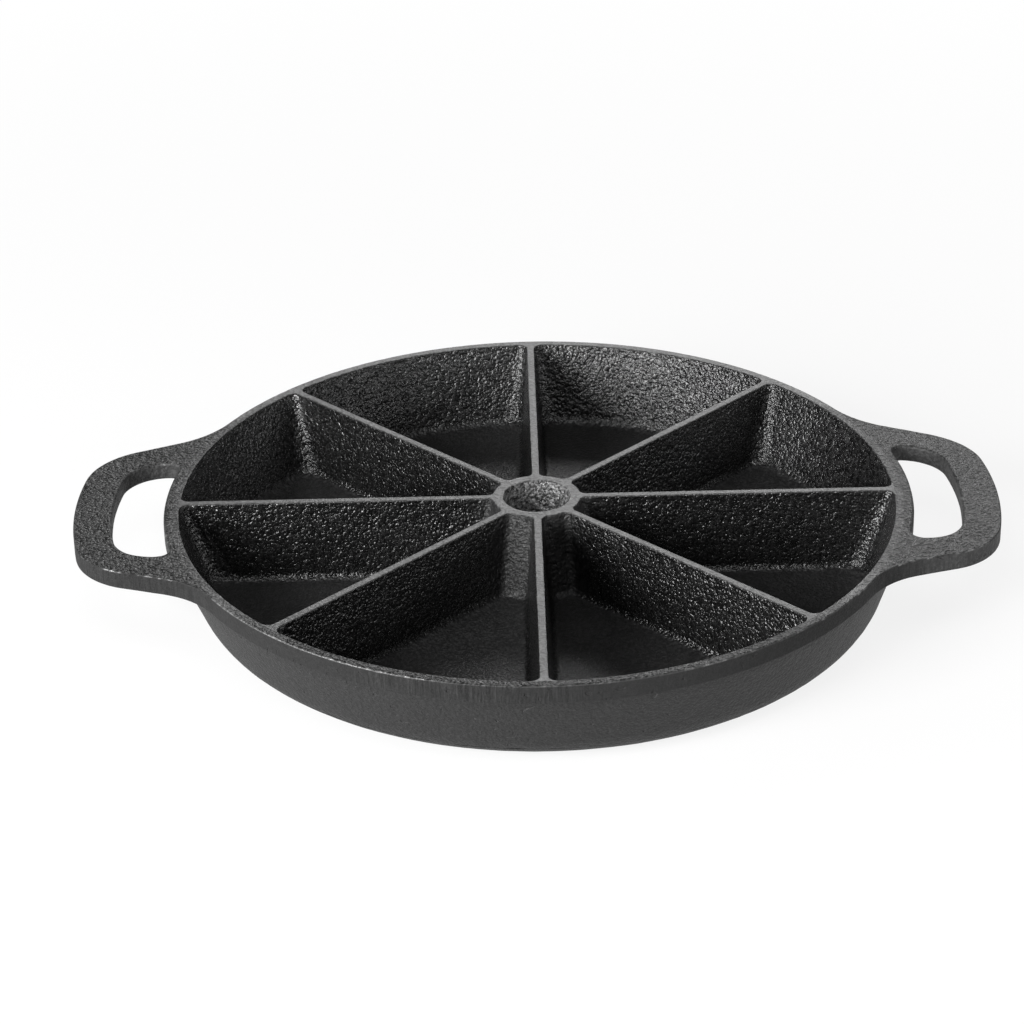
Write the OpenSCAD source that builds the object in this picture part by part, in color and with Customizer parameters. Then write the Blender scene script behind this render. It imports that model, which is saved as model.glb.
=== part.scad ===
// Cast iron pan with wedge pockets round a centre cup, and two loop handles.
// The real pan is one casting. Each feature of it is a node here, and the nodes meet face to face.
// Origin at the centre of the flat underside, +Z up, +X along the handles.

/* [Body] */
// Outside diameter across the ground band of the rim
rim_d = 223.5; // [200:0.5:250]
// Height from the underside to the rim
body_h = 30.5; // [25:0.5:40]
// Thickness of the iron under the pockets
floor_t = 5.1; // [3:0.1:8]
// Draft of the wall's outer face, in degrees
outer_draft = 19.8; // [12:0.2:24]
// Radius that turns the flat underside up into the wall
base_r = 13; // [8:0.5:16]

/* [Rim] */
// Height of the ground band
band_h = 5.2; // [3:0.1:8]
// How far grinding has cut the band back from the cast wall
grind_depth = 0.3; // [0.1:0.1:0.8]
// Width of the flat land between the band and the pockets
rim_land = 3; // [2:0.1:5]
// Draft of the wall's inner face, in degrees
wall_draft = 18; // [8:1:22]
// Rounding where that face meets the pocket floor
wall_foot_r = 4; // [2:0.1:6]

/* [Dividers] */
// Number of pockets, and of dividers between them
pocket_count = 8; // [4:1:8]
// Thickness of a divider at its top
divider_t = 2.6; // [1.6:0.1:4]
// Draft of a divider's sides, in degrees
divider_draft = 5; // [1:0.5:7]
// Rounding where a divider meets the pocket floor
divider_foot_r = 2.5; // [1:0.1:3.5]
// Rounding between divider and wall at the rim
wall_corner_r = 2.5; // [1:0.1:4]
// Rounding between divider and wall at the pocket floor
wall_corner_foot_r = 5.5; // [3:0.1:8]
// Rounding between divider and centre cup at the rim
hub_corner_r = 2; // [1:0.1:3]
// Rounding between divider and centre cup at the pocket floor
hub_corner_foot_r = 2.5; // [1:0.1:3]

/* [Centre cup] */
// Outside diameter of the cup at the rim
hub_d = 27; // [25:0.5:34]
// Draft of the cup's outside, in degrees
hub_draft = 12; // [6:1:14]
// Rounding where the cup's outside meets the pocket floor
hub_foot_r = 2.5; // [1:0.1:4]
// Diameter of the blind well at the rim
cup_d = 20.4; // [14:0.2:23]
// Height of the bottom of the well above the pocket floor
cup_base = 5.4; // [2:0.1:8]
// Draft of the well, in degrees
cup_draft = 14; // [4:1:17]
// Rounding at the bottom of the well
cup_floor_r = 4; // [1:0.1:5]

/* [Handles] */
// How far each handle reaches past the rim
handle_reach = 28.75; // [24:0.05:36]
// Radius of the curve across a handle's tip
handle_tip_r = 123; // [100:1:145]
// Width of the grip bar at its middle
grip_w = 11.6; // [9:0.1:14]
// Width of a handle where its sides meet the rim
handle_root_w = 87.5; // [78:0.5:95]
// Angle at which the sides draw in towards the grip, in degrees
handle_taper = 21; // [12:1:24]
// Outer corner radius of a handle
handle_corner_r = 23.5; // [15:0.5:28]
// Radius of the hollow that runs each side into the rim
handle_root_r = 30; // [15:1:40]
// How far the handles reach down below the ground band
handle_drop = 0.5; // [0:0.1:2]
// Width of the finger gap
gap_w = 59.5; // [50:0.5:64]
// Corner radius of the finger gap at the grip
gap_corner_r = 13; // [6:0.5:15]
// Corner radius of the finger gap at the rim
gap_root_r = 3.5; // [1:0.1:5]
// Width of handle left between the rim and the finger gap
gap_land = 2; // [0.6:0.1:3]

/* [Hidden] */
$fn = 120;

// Colours of the faces as cast, of the oiled pocket side and of the ground band
cast_colour = [0.20, 0.20, 0.20];
oiled_colour = [0.12, 0.12, 0.12];
ground_colour = [0.30, 0.30, 0.30];

// Overrun of every cut past the face it opens
cut = 1;
// Straight length left between two corners that would otherwise touch
slack = 0.1;
// Straight steps in one rounded corner, and in one large arc
corner_steps = 5;
arc_steps = 16;

pocket_depth = body_h - floor_t;
band_z = body_h - band_h;
rim_r = rim_d / 2;
wall_r = rim_r + grind_depth;
pocket_r = rim_r - rim_land;
hub_r = hub_d / 2;
cup_r = cup_d / 2;
cup_z = floor_t + cup_base;
cup_foot_r = cup_r - (body_h - cup_z) * tan(cup_draft);
tip_centre = [rim_r + handle_reach - handle_tip_r, 0];
grip_in_r = handle_tip_r - grip_w;
gap_r = rim_r + gap_land;
gap_side_y = gap_w / 2;
foot_h = max(wall_foot_r, divider_foot_r, hub_foot_r);

// Heights above the pocket floor at which a divider's plan is drawn: close together in the foot
levels = [for (i = [0:corner_steps]) foot_h * pow(i / corner_steps, 2), pocket_depth];

function unit(v) = v / norm(v);
function polar(r, a) = r * [cos(a), sin(a)];
function mirrored(points) = [for (i = [len(points) - 1:-1:0]) [points[i][0], -points[i][1]]];
function angle_of(v) = atan2(v[1], v[0]);

// Points of an arc of radius r about a centre, from angle a to angle b
function arc(centre, r, a, b, steps) = [for (i = [0:steps]) centre + polar(r, a + (b - a) * i / steps)];

// Inner points of an arc about a centre, from the point p to its mirror image across the X axis
function crossing(p, steps, centre = [0, 0]) =
    let (spoke = p - centre)
    [for (i = [1:steps - 1]) centre + polar(norm(spoke), angle_of(spoke) * (1 - 2 * i / steps))];

// Outline made of one side, the tip's arc across its end, and the mirrored side
function outline(side) =
    concat(side, crossing(side[len(side) - 1], arc_steps, tip_centre), mirrored(side));

// Points that round the corner b of the path a, b, c to a radius r
function round_corner(a, b, c, r, steps = corner_steps) =
    let (
        u = unit(a - b),
        v = unit(c - b),
        half = acos(u * v) / 2,
        centre = b + unit(u + v) * r / sin(half),
        p = b + u * r / tan(half) - centre,
        q = b + v * r / tan(half) - centre,
        from = angle_of(p),
        turn = ((angle_of(q) - from) % 360 + 540) % 360 - 180
    )
    arc(centre, r, from, from + turn, steps);

// How far a drafted face has moved in from its top edge at a height h above the pocket floor
function inset(h, draft, foot_r) =
    let (reach = foot_r * tan(45 - draft / 2))
    pocket_depth * tan(draft)
        + (h < reach * cos(draft) ? reach - sqrt(h * (2 * foot_r - h)) : -h * tan(draft));

function wall_in_r(h) = pocket_r - inset(h, wall_draft, wall_foot_r);
function hub_out_r(h) = hub_r + inset(h, hub_draft, hub_foot_r);
function divider_half(h) = divider_t / 2 + inset(h, divider_draft, divider_foot_r);
function at_height(h, foot, top) = foot + (top - foot) * h / pocket_depth;

// One side of a divider in plan, from the cup's circle to the wall's circle
function divider_side(h) =
    let (
        half = divider_half(h),
        hub_c = at_height(h, hub_corner_foot_r, hub_corner_r),
        hub_a = asin((half + hub_c) / (hub_out_r(h) + hub_c)),
        wall_c = at_height(h, wall_corner_foot_r, wall_corner_r),
        wall_a = asin((half + wall_c) / (wall_in_r(h) - wall_c))
    )
    concat(
        arc(polar(hub_out_r(h) + hub_c, -hub_a), hub_c, 180 - hub_a, 90, corner_steps),
        arc(polar(wall_in_r(h) - wall_c, -wall_a), wall_c, 90, -wall_a, corner_steps)
    );

// The whole plan of a divider at a height h above the pocket floor, ends on both circles
function divider_plan(h) =
    let (
        side = divider_side(h),
        far_side = mirrored(side)
    )
    concat(
        side,
        crossing(side[len(side) - 1], 2 * corner_steps),
        far_side,
        crossing(far_side[len(far_side) - 1], 2 * corner_steps)
    );

// Triangles of the strip between two rows of points, without the ones that have no area
function strip(a, b) = [
    for (i = [0:len(a) - 2])
        for (t = [[a[i], a[i + 1], b[i + 1]], [a[i], b[i + 1], b[i]]])
            if (t[0] != t[1] && t[1] != t[2] && t[0] != t[2]) t
];

// Triangles that close a divider's plan: a strip from each side to the end arcs and centre line
function divider_cap() =
    let (
        n = corner_steps,
        m = 8 * n + 2,
        steps = [0:2 * n + 1],
        near_side = [for (i = steps) i],
        near_ends = [for (i = steps) i <= n ? (m - i) % m : 4 * n + 2 - i],
        far_side = [for (i = steps) 6 * n + 2 - i],
        far_ends = [for (i = steps) i <= n ? 6 * n + 2 + i : 2 * n + i]
    )
    concat(strip(near_side, near_ends), strip(far_ends, far_side));

// Solid through a stack of plans with the same number of points, each at its own height
module loft(plans, heights, cap) {
    m = len(plans[0]);
    top = m * (len(plans) - 1);
    ring = [for (j = [0:m]) j % m];
    polyhedron(
        points = [for (k = [0:len(plans) - 1]) for (p = plans[k]) [p[0], p[1], heights[k]]],
        faces = concat(
            cap,
            [for (t = cap) [top + t[2], top + t[1], top + t[0]]],
            [for (k = [m:m:top]) each strip([for (j = ring) k + j], [for (j = ring) k - m + j])]
        )
    );
}

// Half section of the whole body without its pockets
module body_section() {
    base = [wall_r - band_z * tan(outer_draft), 0];
    shelf = [wall_r, band_z];
    polygon(concat(
        [[0, 0]],
        round_corner([0, 0], base, shelf, base_r, 2 * corner_steps),
        [shelf, [rim_r, band_z], [rim_r, body_h], [0, body_h]]
    ));
}

// Half section of the space inside the wall, floor to rim
module cavity_section() {
    polygon(concat(
        [[0, floor_t]],
        [for (h = levels) [wall_in_r(h), floor_t + h]],
        [[wall_in_r(pocket_depth), body_h + cut], [0, body_h + cut]]
    ));
}

// Strip of the half section between two heights
module between(low, high) {
    translate([0, low]) square([wall_r + cut, high - low]);
}

module base_plate() {
    color(cast_colour)
    rotate_extrude() intersection() {
        body_section();
        between(0, floor_t);
    }
}

module side_wall() {
    color(cast_colour)
    rotate_extrude() difference() {
        intersection() {
            body_section();
            between(floor_t, band_z);
        }
        cavity_section();
    }
}

module rim_band() {
    color(ground_colour)
    rotate_extrude() difference() {
        intersection() {
            body_section();
            between(band_z, body_h);
        }
        cavity_section();
    }
}

module centre_cup() {
    foot = [cup_foot_r, cup_z];
    lip = [cup_r, body_h];
    color(oiled_colour)
    rotate_extrude() difference() {
        polygon(concat(
            [[0, floor_t]],
            [for (h = levels) [hub_out_r(h), floor_t + h]],
            [[0, body_h]]
        ));
        polygon(concat(
            [[0, cup_z]],
            round_corner([0, cup_z], foot, lip, cup_floor_r),
            [lip, [cup_r, body_h + cut], [0, body_h + cut]]
        ));
    }
}

// Divider number k, counted anticlockwise from +X
module divider(k) {
    color(oiled_colour)
    rotate([0, 0, 360 / pocket_count * (k - 1)])
    translate([0, 0, floor_t])
    loft([for (h = levels) divider_plan(h)], levels, divider_cap());
}

// Upper half of a handle's outline: out of the rim, along the side and round the corner
function handle_side() =
    let (
        reach = rim_r * sin(handle_taper) + handle_root_w / 2 * cos(handle_taper),
        root_a = acos((reach + handle_root_r) / (rim_r + handle_root_r)),
        normal_a = 90 - handle_taper,
        corner_d = handle_tip_r - handle_corner_r,
        corner_a = acos((reach - handle_corner_r - tip_centre * polar(1, normal_a)) / corner_d),
        root = polar(rim_r + handle_root_r, normal_a - root_a),
        corner = tip_centre + polar(corner_d, normal_a - corner_a)
    )
    concat(
        [[0, 0]],
        arc(root, handle_root_r, 180 + normal_a - root_a, 180 + normal_a, arc_steps),
        arc(corner, handle_corner_r, normal_a, normal_a - corner_a, arc_steps)
    );

// Upper half of the finger gap: round its corner at the rim, then its corner at the grip.
// The second corner is held small enough to end where the first one does.
function gap_side() =
    let (
        root_a = asin((gap_side_y - gap_root_r) / (gap_r + gap_root_r)),
        root = polar(gap_r + gap_root_r, root_a),
        room = pow(grip_in_r, 2) - pow(gap_side_y, 2) - pow(root[0] - tip_centre[0], 2),
        corner_r = min(gap_corner_r, room / 2 / (grip_in_r - gap_side_y) - slack),
        corner_a = asin((gap_side_y - corner_r) / (grip_in_r - corner_r)),
        corner = tip_centre + polar(grip_in_r - corner_r, corner_a)
    )
    concat(
        arc(root, gap_root_r, 180 + root_a, 90, corner_steps),
        arc(corner, corner_r, 90, corner_a, arc_steps)
    );

module handle() {
    below = handle_drop + cut;
    color(cast_colour)
    difference() {
        translate([0, 0, band_z - handle_drop])
        linear_extrude(band_h + handle_drop) difference() {
            polygon(outline(handle_side()));
            circle(rim_r);
            difference() {
                polygon(outline(gap_side()));
                circle(gap_r);
            }
        }
        translate([0, 0, band_z - below])
        cylinder(h = below, r1 = wall_r - below * tan(outer_draft), r2 = wall_r);
    }
}

module handle_left() {
    mirror([1, 0, 0]) handle();
}

module handle_right() {
    handle();
}

base_plate();
side_wall();
rim_band();
centre_cup();
for (k = [1:pocket_count]) divider(k);
handle_left();
handle_right();
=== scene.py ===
"""Looks of a cast iron wedge pan: dressed surfaces of the one casting, floor, lights and camera.

Lengths are in millimetres and angles in degrees until a mesh, lamp or camera is written.
Every surface is a grid worked out by a formula, roughened by one shared relief field, so that
pieces which meet on the real casting meet here without a seam.
"""

import logging
from abc import ABC, abstractmethod
from dataclasses import astuple, dataclass, field
from enum import Enum, IntEnum
from functools import cached_property, reduce

import bpy
import numpy as np
from mathutils import Matrix, Vector


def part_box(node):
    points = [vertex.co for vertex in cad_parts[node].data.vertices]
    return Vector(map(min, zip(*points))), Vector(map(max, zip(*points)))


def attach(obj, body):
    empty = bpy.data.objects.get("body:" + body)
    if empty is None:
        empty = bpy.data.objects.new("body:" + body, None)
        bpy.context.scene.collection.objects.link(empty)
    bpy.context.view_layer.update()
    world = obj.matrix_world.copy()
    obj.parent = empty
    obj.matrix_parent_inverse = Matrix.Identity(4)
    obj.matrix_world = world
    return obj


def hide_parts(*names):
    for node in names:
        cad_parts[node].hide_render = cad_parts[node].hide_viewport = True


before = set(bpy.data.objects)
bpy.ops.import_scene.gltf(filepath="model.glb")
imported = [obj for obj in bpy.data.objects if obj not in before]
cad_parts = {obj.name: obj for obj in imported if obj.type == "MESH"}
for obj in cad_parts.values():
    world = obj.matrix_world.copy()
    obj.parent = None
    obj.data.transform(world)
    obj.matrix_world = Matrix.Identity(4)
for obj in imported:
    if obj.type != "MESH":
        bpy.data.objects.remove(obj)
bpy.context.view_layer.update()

LOG = logging.getLogger("wedge_pan")
MM = 0.001
HAIR = 1e-9  # distance at which two points are the same
Array = np.ndarray
Walk = tuple[Array, Array, Array]  # points with their normals and finish channels
Trace = tuple[Array, Array, Array]  # points in plan with their normals and edge radii
Shell = tuple[Walk, Array, Array]  # closed surface: vertices, quads and triangles
Pair = tuple[float, float]
Span = Pair  # where a soft step starts and where it ends
Socket = bpy.types.NodeSocket
Material = bpy.types.Material
NO_TRIANGLES = np.zeros((0, 3), int)


class Slot(Enum):
    """Material slots of the record."""

    WALL = "wall_iron"
    BAND = "band_iron"
    POCKET = "pocket_iron"
    HANDLE = "handle_iron"


class Channel(IntEnum):
    """Finish values that every vertex carries, in the order of Finish's fields."""

    RELIEF = 0
    GRAIN = 1
    TONE = 2
    MATT = 3
    FILED = 4


@dataclass(frozen=True)
class Finish:
    """One state of the iron's surface."""

    relief: float  # depth of the cast relief
    grain: float  # strength of the sand grain, 1 in a pocket
    tone: float  # share of light that it scatters
    matt: float  # roughness of its gloss, 0 to 1
    filed: float = 0.0  # strength of upright filing marks, 0 to 1

    def channels(self) -> Array:
        """Returns the five values as an array."""
        return np.array(astuple(self))


POCKET_WALL = Finish(relief=0.36, grain=1.0, tone=0.012, matt=0.24)
FLANK_SKIN = Finish(relief=0.18, grain=0.85, tone=0.005, matt=0.27)
HUB_SKIN = Finish(relief=0.12, grain=0.9, tone=0.008, matt=0.60)
# pocket floors: lighter than the walls' iron to lift them out of the walls' shade, a painted light
POCKET_FLOOR = Finish(relief=0.10, grain=0.5, tone=0.020, matt=0.42)
# well: much lighter than the pockets' iron, standing in for the light the cup catches: painted
# light
WELL = Finish(relief=0.14, grain=1.1, tone=0.10, matt=0.30)
OUTER_SKIN = Finish(relief=0.16, grain=0.85, tone=0.004, matt=0.66)
UNDERSIDE = Finish(relief=0.10, grain=0.5, tone=0.02, matt=0.70)
BAND = Finish(relief=0.03, grain=0.25, tone=0.006, matt=0.92, filed=1.0)
GRIP_SIDE = Finish(relief=0.05, grain=0.4, tone=0.022, matt=0.70, filed=0.6)
# bright metal at edges: partly real burr, partly a painted highlight
BURR_AND_HIGHLIGHT = Finish(relief=0.10, grain=0.6, tone=0.10, matt=0.30, filed=0.3)
LAND = Finish(relief=0.0, grain=0.35, tone=0.08, matt=0.38)
HANDLE_FACE = Finish(relief=0.34, grain=1.0, tone=0.026, matt=0.36)
GAP_EDGE = Finish(relief=0.08, grain=0.6, tone=0.02, matt=0.7)


def blend(a: Array, b: Array, share: Array) -> Array:
    """Mixes two sets of finish channels.

    Args:
        a: Channels at share 0, one set or one for each share.
        b: Channels at share 1, one set or one for each share.
        share: Array of shares.

    Returns:
        Array with the shares' shape and one more axis for the channels.
    """
    s = np.asarray(share)[..., None]
    return a * (1 - s) + b * s


def spoke(a: Array) -> Array:
    """Returns the unit vectors at the angles a, in radians, along a new last axis."""
    return np.stack([np.cos(a), np.sin(a)], axis=-1)


def smooth(x: Array, low: float, high: float) -> Array:
    """Returns 0 below low, 1 above high, and the cubic 3x^2 - 2x^3 between."""
    t = np.clip((x - low) / (high - low), 0, 1)
    return t * t * (3 - 2 * t)


@dataclass(frozen=True)
class CastSkin:
    """Relief that the sand mould leaves: value noise at three spacings on one seeded lattice."""

    seed: int = 11
    cells: int = 64
    spacings: tuple[float, ...] = (13.0, 4.6, 2.1)
    weights: tuple[float, ...] = (0.30, 0.26, 0.44)
    twist: float = 0.7  # radians that the first spacing is turned by, and each next one by 1 more
    axis: tuple[float, float, float] = (1.0, 0.6, 0.3)  # its Z grows with each spacing from 0

    @cached_property
    def lattice(self) -> Array:
        """Random values from 0 to 1 on a repeating cube of cells."""
        return np.random.default_rng(self.seed).random((self.cells,) * 3)

    def octave(self, points: Array, spacing: float) -> tuple[Array, Array]:
        """One spacing of noise and its slope.

        Each corner of the cell round a point has a random value. They are mixed along X, Y and
        Z with the weight w = 3f^2 - 2f^3, where f is the place in the cell, and the slope is the
        mix with w replaced by its own slope 6f(1 - f) along that axis.

        Args:
            points: N x 3 points.
            spacing: Size of a cell.

        Returns:
            N values from 0 to 1, and N x 3 slopes per millimetre.
        """
        q = points / spacing + self.cells
        low = np.floor(q).astype(int)
        f = q - low
        w = f * f * (3 - 2 * f)
        dw = 6 * f * (1 - f) / spacing
        x, y, z = ((low[:, a, None] + np.arange(2)) % self.cells for a in range(3))
        c = self.lattice[x[:, :, None, None], y[:, None, :, None], z[:, None, None, :]]
        wx, wy, wz = w.T
        cx = c[:, 0] + (c[:, 1] - c[:, 0]) * wx[:, None, None]
        sx = (c[:, 1] - c[:, 0]) * dw[:, 0, None, None]
        cxy = cx[:, 0] + (cx[:, 1] - cx[:, 0]) * wy[:, None]
        sxy = sx[:, 0] + (sx[:, 1] - sx[:, 0]) * wy[:, None]
        syx = (cx[:, 1] - cx[:, 0]) * dw[:, 1, None]
        value = cxy[:, 0] + (cxy[:, 1] - cxy[:, 0]) * wz
        slope = np.stack(
            [
                sxy[:, 0] + (sxy[:, 1] - sxy[:, 0]) * wz,
                syx[:, 0] + (syx[:, 1] - syx[:, 0]) * wz,
                (cxy[:, 1] - cxy[:, 0]) * dw[:, 2],
            ],
            axis=1,
        )
        return value, slope

    def relief(self, points: Array) -> tuple[Array, Array]:
        """Weighted sum of the spacings, each turned to its own direction.

        Args:
            points: N x 3 points.

        Returns:
            N values from 0 to 1, and N x 3 slopes per millimetre.
        """
        total, slope = np.zeros(len(points)), np.zeros((len(points), 3))
        x, y, z = self.axis
        for step, (spacing, weight) in enumerate(zip(self.spacings, self.weights)):
            turn = np.array(Matrix.Rotation(self.twist + step, 3, Vector((x, y, z * step))))
            value, grad = self.octave(points @ turn, spacing)
            total += weight * value
            slope += weight * grad @ turn.T
        return total, slope


SKIN = CastSkin()


@dataclass
class Patch:
    """Grid of points with their normals and finish channels, rows by columns."""

    points: Array
    normals: Array
    finish: Array

    def roughened(self) -> Walk:
        """Presses the relief into the surface.

        A point moves inwards along its normal by depth times relief, and its normal leans by
        the part of that product's slope that lies in the surface.

        Returns:
            The grid's points, normals and channels.
        """
        p, n = self.points.reshape(-1, 3), self.normals.reshape(-1, 3)
        finish = self.finish.reshape(-1, len(Channel))
        depth = finish[:, Channel.RELIEF, None]
        value, slope = SKIN.relief(p)
        lean = slope - (slope * n).sum(1, keepdims=True) * n
        tilted = n + depth * lean
        tilted /= np.linalg.norm(tilted, axis=1, keepdims=True)
        return p - n * depth * value[:, None], tilted, finish


@dataclass(frozen=True)
class BurrAndHighlightLine:
    """Broken bright metal that grinding leaves on an edge, with a painted highlight."""

    size: float  # spacing of the noise that breaks it up
    upright: Span = (0.2, 0.5)  # upward part of the normal where the edge starts
    level: Span = (0.85, 0.98)  # and where it ends
    spot_from: Pair = (0.75, 0.6)  # noise where a spot starts, less per strength
    spot_to: Pair = (1.0, 0.5)  # noise where it is whole, less per strength

    def on(self, patch: Patch, strength: Array) -> Patch:
        """Mixes burr and painted highlight into a patch where its surface turns from up to
        sideways.

        The share is a soft step of the noise, whose two limits fall as the strength grows.

        Args:
            patch: Patch with its edges.
            strength: How much of the edge is bright, 0 to 1, for each point.

        Returns:
            The patch with its new finish.
        """
        up = patch.normals[..., 2]
        edge = smooth(up, *self.upright) * (1 - smooth(up, *self.level))
        spots = SKIN.octave(patch.points.reshape(-1, 3), self.size)[0].reshape(up.shape)
        low, high = (a - b * strength for a, b in (self.spot_from, self.spot_to))
        share = edge * smooth(spots, low, high)
        return Patch(patch.points, patch.normals, blend(patch.finish, BURR_AND_HIGHLIGHT.channels(), share))


def grid_quads(rows: int, cols: int, wrap_rows: bool = False, wrap_cols: bool = False) -> Array:
    """Four corners of every cell of a grid, in the order that faces outwards.

    Args:
        rows: Number of rows of points.
        cols: Number of columns of points.
        wrap_rows: Whether the last row joins the first.
        wrap_cols: Whether the last column joins the first.

    Returns:
        Cells x 4 vertex numbers.
    """
    i = np.arange(rows if wrap_rows else rows - 1)[:, None]
    j = np.arange(cols if wrap_cols else cols - 1)[None, :]
    up, along = (i + 1) % rows, (j + 1) % cols
    corners = [i * cols + j, i * cols + along, up * cols + along, up * cols + j]
    return np.stack(np.broadcast_arrays(*corners), axis=-1).reshape(-1, 4)


def ladder_quads(ring: Array) -> Array:
    """Rungs across an even closed ring of vertices, from its two ends to its middle."""
    half = len(ring) // 2
    i = np.arange(half - 1)
    return np.stack([ring[i], ring[i + 1], ring[-2 - i], ring[-1 - i]], axis=-1)


def build_mesh(name: str, surface: Walk, quads: Array, triangles: Array) -> bpy.types.Object:
    """Writes one closed surface into a mesh object at the origin.

    Args:
        name: Name of the piece.
        surface: Its vertices, normals for shading and channels.
        quads: Q x 4 vertex numbers.
        triangles: T x 3 vertex numbers.

    Returns:
        The new object, linked to the scene.
    """
    points, normals, finish = surface
    mesh = bpy.data.meshes.new(name)
    mesh.vertices.add(len(points))
    mesh.vertices.foreach_set("co", (points * MM).astype(np.float32).ravel())
    corners = np.concatenate([quads.ravel(), triangles.ravel()]).astype(np.int32)
    mesh.loops.add(len(corners))
    mesh.loops.foreach_set("vertex_index", corners)
    starts = np.concatenate(
        [np.arange(len(quads)) * 4, quads.size + np.arange(len(triangles)) * 3]
    )
    mesh.polygons.add(len(starts))
    mesh.polygons.foreach_set("loop_start", starts.astype(np.int32))
    mesh.polygons.foreach_set("use_smooth", np.ones(len(starts), bool))
    mesh.update(calc_edges=True)
    for channel in Channel:
        layer = mesh.attributes.new(channel.name.lower(), "FLOAT", "POINT")
        layer.data.foreach_set("value", finish[:, channel].astype(np.float32))
    mesh.normals_split_custom_set_from_vertices(normals.tolist())
    piece = bpy.data.objects.new(name, mesh)
    bpy.context.scene.collection.objects.link(piece)
    return piece


def mount(piece: bpy.types.Object, node: str, material: Material) -> None:
    """Dresses a piece and lets it stand for its node.

    Args:
        piece: The finished mesh object.
        node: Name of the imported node.
        material: Material to wear.
    """
    piece.data.materials.append(material)
    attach(piece, "root")
    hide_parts(node)
    LOG.info("%s: %d faces for node %s", piece.name, len(piece.data.polygons), node)


class Feature(ABC):
    """Feature of the casting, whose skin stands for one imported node."""

    node: str
    slot: Slot

    @abstractmethod
    def shell(self) -> Shell:
        """Returns the feature's closed skin."""

    def build(self, iron: dict[Slot, Material]) -> None:
        """Builds the skin and dresses it.

        Args:
            iron: The material of each slot.
        """
        piece = build_mesh(f"{self.node}_skin", *self.shell())
        mount(piece, self.node, iron[self.slot])


@dataclass(frozen=True)
class DraftedFace:
    """Face that leans back from its top edge and runs into the floor through a round foot."""

    lean: float
    foot_r: float

    def spread(self, depth: float) -> float:
        """Returns how far the unrounded face has moved out at the floor."""
        return depth * np.tan(np.radians(self.lean))

    def tangent(self, radius: float) -> float:
        """Returns the distance from a corner to where a rounding of that radius starts."""
        return radius * np.tan(np.radians(45 - self.lean / 2))

    def inset(self, root: Array, depth: float) -> Array:
        """How far the face stands out from its top edge.

        With h the height above the floor, it is depth tan(lean) - h tan(lean) on the straight
        part, and below the foot's tangent point the quarter-like arc reach - sqrt(h(2r - h)).

        Args:
            root: Signed square root of h, so that the arc stays smooth through the floor.
            depth: Height of the top edge.

        Returns:
            Array of distances.
        """
        h = root * root
        reach = self.tangent(self.foot_r)
        arc = reach - root * np.sqrt(np.maximum(2 * self.foot_r - h, 0))
        lean = np.radians(self.lean)
        joined = self.foot_r * (1 - np.sin(lean))
        return self.spread(depth) + np.where(h < joined, arc, -h * np.tan(lean))


WALL_FACE = DraftedFace(lean=18.0, foot_r=4.0)
HUB_FACE = DraftedFace(lean=12.0, foot_r=2.5)
FLANK = DraftedFace(lean=5.0, foot_r=2.5)


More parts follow.
